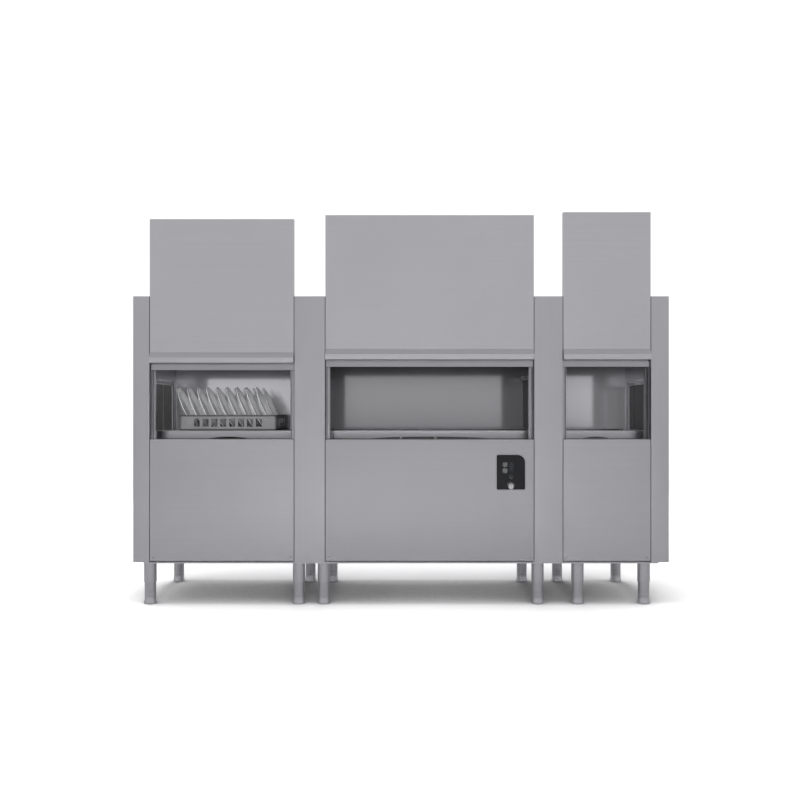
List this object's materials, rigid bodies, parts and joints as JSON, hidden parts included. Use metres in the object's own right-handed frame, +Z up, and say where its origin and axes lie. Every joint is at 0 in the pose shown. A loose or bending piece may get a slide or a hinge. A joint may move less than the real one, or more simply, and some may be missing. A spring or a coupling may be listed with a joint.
{
  "type": "rack conveyor dishwasher",
  "caption": "Free-standing stainless tunnel dishwasher: prewash, wash and rinse modules with lift doors, rack track, rack drive, spray arms, pumps and splash curtains.",
  "frame": {"origin": "floor level under the centre of the machine footprint", "axes": "+X is the way the racks travel and the long side, front with the doors and control panel faces -Y, +Z up"},
  "size_m": [2.7044, 0.81, 1.984],
  "materials": {
    "stainless_satin": "satin, horizontal grain",
    "stainless_frame": "satin",
    "stainless_bright": "bright rolled, slightly reflective",
    "stainless_fittings": "polished",
    "steel_drive": "turned and drawn",
    "motor_paint": "semi-gloss paint",
    "pipe_plastic": "moulded grey",
    "box_grey": "powder coat",
    "valve_brass": "cast and turned",
    "curtain_rubber": "matt black strips",
    "rack_plastic": "moulded grey",
    "plate_porcelain": "white glaze",
    "panel_black": "gloss black",
    "window_glass": "smoked, clear gloss",
    "button_pale": "satin pale grey",
    "knob_pale": "satin off-white"
  },
  "bodies": {
    "cabinet": {"adjustable_feet": "stainless_frame", "base_frame": "stainless_frame", "boiler": "stainless_fittings", "chamber_liners": "stainless_bright", "control_fascia": "panel_black", "door_cables": "steel_drive", "door_guides": "stainless_frame", "drain_manifold": "pipe_plastic", "drive_gearmotor": "motor_paint", "electrical_box": "box_grey", "end_panels": "stainless_satin", "heating_elements": "stainless_fittings", "leg_tubes": "stainless_frame", "lower_panel_prewash": "stainless_satin", "lower_panel_rinse": "stainless_satin", "lower_panel_wash": "stainless_satin", "lower_wash_arms": "stainless_fittings", "panel_lenses": "window_glass", "panel_screws": "stainless_fittings", "post_entry": "stainless_satin", "post_exit": "stainless_satin", "post_prewash_wash": "stainless_satin", "post_wash_rinse": "stainless_satin", "pump_casings": "stainless_fittings", "pump_motors": "motor_paint", "pump_pipework": "pipe_plastic", "rack_rails": "stainless_frame", "rear_panels": "stainless_satin", "rinse_arms": "stainless_fittings", "roof_panels": "stainless_satin", "tank_strainers": "stainless_bright", "upper_wash_arms": "stainless_fittings", "wash_tanks": "stainless_bright", "water_inlet_valve": "valve_brass", "zone_dividers": "stainless_bright"},
    "door_prewash": {"door_prewash_skin": "stainless_satin", "door_prewash_liner": "stainless_bright"},
    "door_wash": {"door_wash_skin": "stainless_satin", "door_wash_liner": "stainless_bright"},
    "door_rinse": {"door_rinse_skin": "stainless_satin", "door_rinse_liner": "stainless_bright"},
    "balance_prewash": {"balance_shaft_prewash": "steel_drive"},
    "balance_wash": {"balance_shaft_wash": "steel_drive"},
    "balance_rinse": {"balance_shaft_rinse": "steel_drive"},
    "entry_curtain": {"curtain_entry": "curtain_rubber"},
    "prewash_wash_curtain": {"curtain_prewash_wash": "curtain_rubber"},
    "wash_rinse_curtain": {"curtain_wash_rinse": "curtain_rubber"},
    "exit_curtain": {"curtain_exit": "curtain_rubber"},
    "carriage": {"feed_carriage": "steel_drive"},
    "dogs": {"dog_bar": "steel_drive"},
    "crank": {"drive_crank": "steel_drive"},
    "link": {"drive_link": "steel_drive"},
    "lever": {"drive_lever": "steel_drive"},
    "rack": {"dish_rack": "rack_plastic", "plates": "plate_porcelain"},
    "prewash_rotor": {"prewash_pump_rotor": "stainless_fittings"},
    "wash_rotor": {"wash_pump_rotor": "stainless_fittings"},
    "power": {"power_button": "button_pale"},
    "start": {"start_button": "button_pale"},
    "knob": {"program_knob": "knob_pale"}
  },
  "joints": [
    {"name": "door_prewash_slide", "type": "slide", "parent": "cabinet", "child": "door_prewash", "axis": [0, 0, 1], "range_m": [-0.344, 0.017], "deforming": ["door_cables"]},
    {"name": "balance_prewash_turn", "type": "hinge", "parent": "cabinet", "child": "balance_prewash", "pos_m": [-0.903, -0.318, 1.53], "axis": [1, 0, 0], "range_deg": [-45.8, 897.4]},
    {"name": "door_wash_slide", "type": "slide", "parent": "cabinet", "child": "door_wash", "axis": [0, 0, 1], "range_m": [-0.361, 0], "deforming": ["door_cables"]},
    {"name": "balance_wash_turn", "type": "hinge", "parent": "cabinet", "child": "balance_wash", "pos_m": [0.14425, -0.318, 1.53], "axis": [1, 0, 0], "range_deg": [-1.5, 941.7]},
    {"name": "door_rinse_slide", "type": "slide", "parent": "cabinet", "child": "door_rinse", "axis": [0, 0, 1], "range_m": [-0.361, 0], "deforming": ["door_cables"]},
    {"name": "balance_rinse_turn", "type": "hinge", "parent": "cabinet", "child": "balance_rinse", "pos_m": [1.03775, -0.318, 1.53], "axis": [1, 0, 0], "range_deg": [-1.5, 941.7]},
    {"name": "curtain_entry_swing", "type": "hinge", "parent": "cabinet", "child": "entry_curtain", "pos_m": [-1.309, 0, 1.142], "axis": [0, -1, 0], "range_deg": [-45, 12]},
    {"name": "curtain_prewash_wash_swing", "type": "hinge", "parent": "cabinet", "child": "prewash_wash_curtain", "pos_m": [-0.425, 0, 1.172], "axis": [0, -1, 0], "range_deg": [-20, 50]},
    {"name": "curtain_wash_rinse_swing", "type": "hinge", "parent": "cabinet", "child": "wash_rinse_curtain", "pos_m": [0.7, 0, 1.172], "axis": [0, 1, 0], "range_deg": [-40, 15]},
    {"name": "curtain_exit_swing", "type": "hinge", "parent": "cabinet", "child": "exit_curtain", "pos_m": [1.309, 0, 1.142], "axis": [0, -1, 0], "range_deg": [-20, 45]},
    {"name": "rack_travel", "type": "slide", "parent": "cabinet", "child": "rack", "axis": [1, 0, 0], "range_m": [0, 1.895], "deforming": ["curtain_entry", "curtain_prewash_wash", "curtain_wash_rinse", "curtain_exit"]},
    {"name": "feed_carriage_stroke", "type": "slide", "parent": "cabinet", "child": "carriage", "axis": [1, 0, 0], "range_m": [-0.06, 0.06]},
    {"name": "drive_lever_swing", "type": "hinge", "parent": "cabinet", "child": "lever", "pos_m": [1.15, 0, 0.585], "axis": [0, 1, 0], "range_deg": [-13.9, 13.9]},
    {"name": "dog_bar_tilt", "type": "hinge", "parent": "carriage", "child": "dogs", "pos_m": [0, 0.026, 0.853], "axis": [1, 0, 0], "range_deg": [0, 77]},
    {"name": "drive_crank_turn", "type": "hinge", "parent": "cabinet", "child": "crank", "pos_m": [0.9, -0.33, 0.455], "axis": [0, 1, 0], "continuous": true},
    {"name": "drive_link_pivot", "type": "hinge", "parent": "crank", "child": "link", "pos_m": [0.9, -0.362, 0.424], "axis": [0, 1, 0], "continuous": true},
    {"name": "prewash_pump_spin", "type": "hinge", "parent": "cabinet", "child": "prewash_rotor", "pos_m": [-0.9, 0.06, 0.345], "axis": [1, 0, 0], "continuous": true},
    {"name": "wash_pump_spin", "type": "hinge", "parent": "cabinet", "child": "wash_rotor", "pos_m": [0.12, 0.06, 0.345], "axis": [1, 0, 0], "continuous": true},
    {"name": "power_button_press", "type": "slide", "parent": "cabinet", "child": "power", "axis": [0, 1, 0], "range_m": [0, 0.003], "stiffness_N_per_m": 400},
    {"name": "start_button_press", "type": "slide", "parent": "cabinet", "child": "start", "axis": [0, 1, 0], "range_m": [0, 0.003], "stiffness_N_per_m": 400},
    {"name": "program_knob_turn", "type": "hinge", "parent": "cabinet", "child": "knob", "pos_m": [0.5536, -0.385, 0.6015], "axis": [0, 1, 0], "range_deg": [0, 270]}
  ],
  "couplings": [
    {"joint": "balance_prewash_turn", "follows": "door_prewash_slide", "rad_per_m": -45.455},
    {"joint": "balance_wash_turn", "follows": "door_wash_slide", "rad_per_m": -45.455},
    {"joint": "balance_rinse_turn", "follows": "door_rinse_slide", "rad_per_m": -45.455},
    {"joint": "drive_lever_swing", "follows": "feed_carriage_stroke", "rad_per_m": 4},
    {"joint": "drive_link_pivot", "follows": "drive_crank_turn", "ratio": -1}
  ]
}
